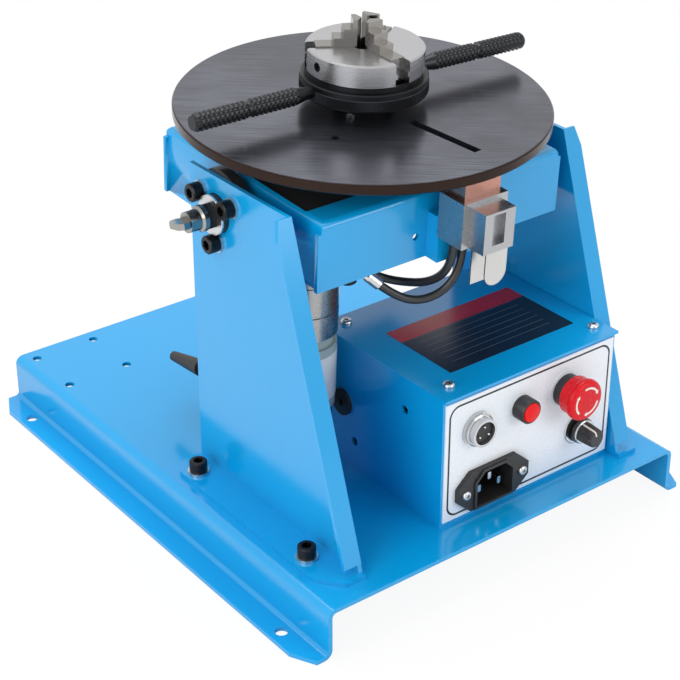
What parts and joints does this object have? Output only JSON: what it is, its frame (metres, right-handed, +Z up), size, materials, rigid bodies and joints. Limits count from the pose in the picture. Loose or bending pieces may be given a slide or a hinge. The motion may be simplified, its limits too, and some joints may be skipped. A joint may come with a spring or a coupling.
{
  "type": "welding positioner",
  "caption": "Bench turntable with a scroll chuck in a motor-driven tray that tilts between two folded uprights, with a control box on the same base plate",
  "frame": {"origin": "centre of the base plate's underside, at bench level, in the middle of its four flange holes", "axes": "+X to the right along the tilt axis, +Y to the rear (the control panel faces -Y), +Z up"},
  "size_m": [0.274, 0.32, 0.2762],
  "materials": {
    "frame_paint": "glossy sky-blue powder coat on folded sheet",
    "tray_paint": "glossy sky-blue powder coat",
    "box_paint": "glossy sky-blue powder coat",
    "zinc": "bright zinc-plated steel",
    "black_oxide": "black-oxide steel",
    "ground_steel": "ground and turned steel",
    "dark_disc": "black-oxide turned face with bright edge",
    "chuck_steel": "fine turned steel",
    "chrome": "polished chrome plate",
    "bush_plastic": "black acetal, turned",
    "grip_rubber": "black dipped vinyl",
    "cable_rubber": "black rubber sheath",
    "motor_can": "grey motor can with a white paper label",
    "motor_plastic": "moulded end cap",
    "aluminium": "milled aluminium",
    "copper": "machined copper alloy",
    "tinned": "tinned copper terminal",
    "spring_steel": "bright spring steel strip",
    "overlay_white": "printed white polycarbonate film with a black border",
    "black_plastic": "moulded black plastic",
    "red_plastic": "glossy red moulding",
    "lamp_red": "translucent red lens"
  },
  "bodies": {
    "stand": {"base_plate": "frame_paint", "left_upright": "frame_paint", "right_upright": "frame_paint", "foot_bolts": "black_oxide", "foot_washers": "zinc", "foot_nuts": "zinc", "left_bush": "bush_plastic", "right_bush": "bush_plastic", "bush_screws": "black_oxide", "bush_washers": "zinc", "control_box": "box_paint", "box_lid": "box_paint", "lid_screws": "zinc", "front_overlay": "overlay_white", "power_inlet": "black_plastic", "inlet_screws": "zinc", "pedal_connector": "chrome", "lamp_bezel": "chrome", "lamp_lens": "lamp_red", "stop_collar": "black_plastic", "speed_collar": "black_plastic", "side_grommet": "grip_rubber"},
    "tilt_frame": {"trunnion_studs": "zinc", "stud_washers": "zinc", "stud_nuts": "black_oxide", "tilt_tray": "tray_paint", "bearing_housing": "ground_steel", "spindle_bearings": "ground_steel", "motor_plate": "frame_paint", "plate_spacers": "zinc", "plate_screws": "black_oxide", "gearbox": "ground_steel", "motor": "motor_can", "motor_cap": "motor_plastic", "brush_bracket": "frame_paint", "brush_holder": "aluminium", "spring_housing": "black_plastic", "leaf_spring": "spring_steel", "contact_leaf": "spring_steel", "ground_cables": "cable_rubber", "cable_lugs": "tinned", "lug_bolt": "black_oxide", "tilt_lever": "black_oxide", "lever_grip": "grip_rubber"},
    "table": {"spindle": "ground_steel", "table_disc": "dark_disc", "table_gear": "ground_steel", "spindle_nut": "zinc", "chuck_body": "chuck_steel"},
    "scroll": {"scroll_ring": "black_oxide", "tommy_bars": "black_oxide"},
    "first_jaw": {"jaw_1": "chuck_steel"},
    "second_jaw": {"jaw_2": "chuck_steel"},
    "third_jaw": {"jaw_3": "chuck_steel"},
    "drive_pinion": {"pinion": "ground_steel"},
    "brush": {"copper_brush": "copper"},
    "clamp_nut": {"wing_nut": "chrome"},
    "stop_push_rod": {"stop_plunger": "black_plastic"},
    "stop_button": {"stop_head": "red_plastic"},
    "speed_dial": {"speed_knob": "black_plastic"}
  },
  "joints": [
    {"name": "tilt", "type": "hinge", "parent": "stand", "child": "tilt_frame", "pos_m": [0, -0.028, 0.1891], "axis": [-1, 0, 0], "range_deg": [-9.2, 92.8]},
    {"name": "table_spin", "type": "hinge", "parent": "tilt_frame", "child": "table", "pos_m": [0, -0.02981, 0.22606], "axis": [0, -0.0489, 0.9988], "continuous": true},
    {"name": "pinion_spin", "type": "hinge", "parent": "tilt_frame", "child": "drive_pinion", "pos_m": [-0.0545, -0.05267, 0.17988], "axis": [0, -0.0489, 0.9988], "continuous": true},
    {"name": "scroll_turn", "type": "hinge", "parent": "table", "child": "scroll", "pos_m": [0, -0.03064, 0.24304], "axis": [0, -0.0489, 0.9988], "range_deg": [-144, 648]},
    {"name": "first_jaw_slide", "type": "slide", "parent": "table", "child": "first_jaw", "axis": [0, -0.9988, -0.0489], "range_m": [-0.002, 0.009]},
    {"name": "second_jaw_slide", "type": "slide", "parent": "table", "child": "second_jaw", "axis": [0.866, 0.4994, 0.0244], "range_m": [-0.002, 0.009]},
    {"name": "third_jaw_slide", "type": "slide", "parent": "table", "child": "third_jaw", "axis": [-0.866, 0.4994, 0.0244], "range_m": [-0.002, 0.009]},
    {"name": "brush_slide", "type": "slide", "parent": "tilt_frame", "child": "brush", "axis": [0, -0.0489, 0.9988], "range_m": [-0.004, 0], "stiffness_N_per_m": 400, "springref_m": 0.01},
    {"name": "clamp_turn", "type": "hinge", "parent": "tilt_frame", "child": "clamp_nut", "pos_m": [-0.11, -0.028, 0.1891], "axis": [-1, 0, 0], "range_deg": [0, 270]},
    {"name": "stop_push", "type": "slide", "parent": "stand", "child": "stop_push_rod", "axis": [0, 1, 0], "range_m": [0, 0.004]},
    {"name": "stop_twist", "type": "hinge", "parent": "stop_push_rod", "child": "stop_button", "pos_m": [0.0538, -0.155, 0.0838], "axis": [0, 1, 0], "range_deg": [0, 45], "stiffness_Nm_per_rad": 0.02},
    {"name": "speed_turn", "type": "hinge", "parent": "stand", "child": "speed_dial", "pos_m": [0.0648, -0.15, 0.0553], "axis": [0, 1, 0], "range_deg": [-150, 150]}
  ],
  "couplings": [
    {"joint": "pinion_spin", "follows": "table_spin", "ratio": -3},
    {"joint": "first_jaw_slide", "follows": "scroll_turn", "m_per_rad": 0.00079577},
    {"joint": "second_jaw_slide", "follows": "scroll_turn", "m_per_rad": 0.00079577},
    {"joint": "third_jaw_slide", "follows": "scroll_turn", "m_per_rad": 0.00079577}
  ]
}
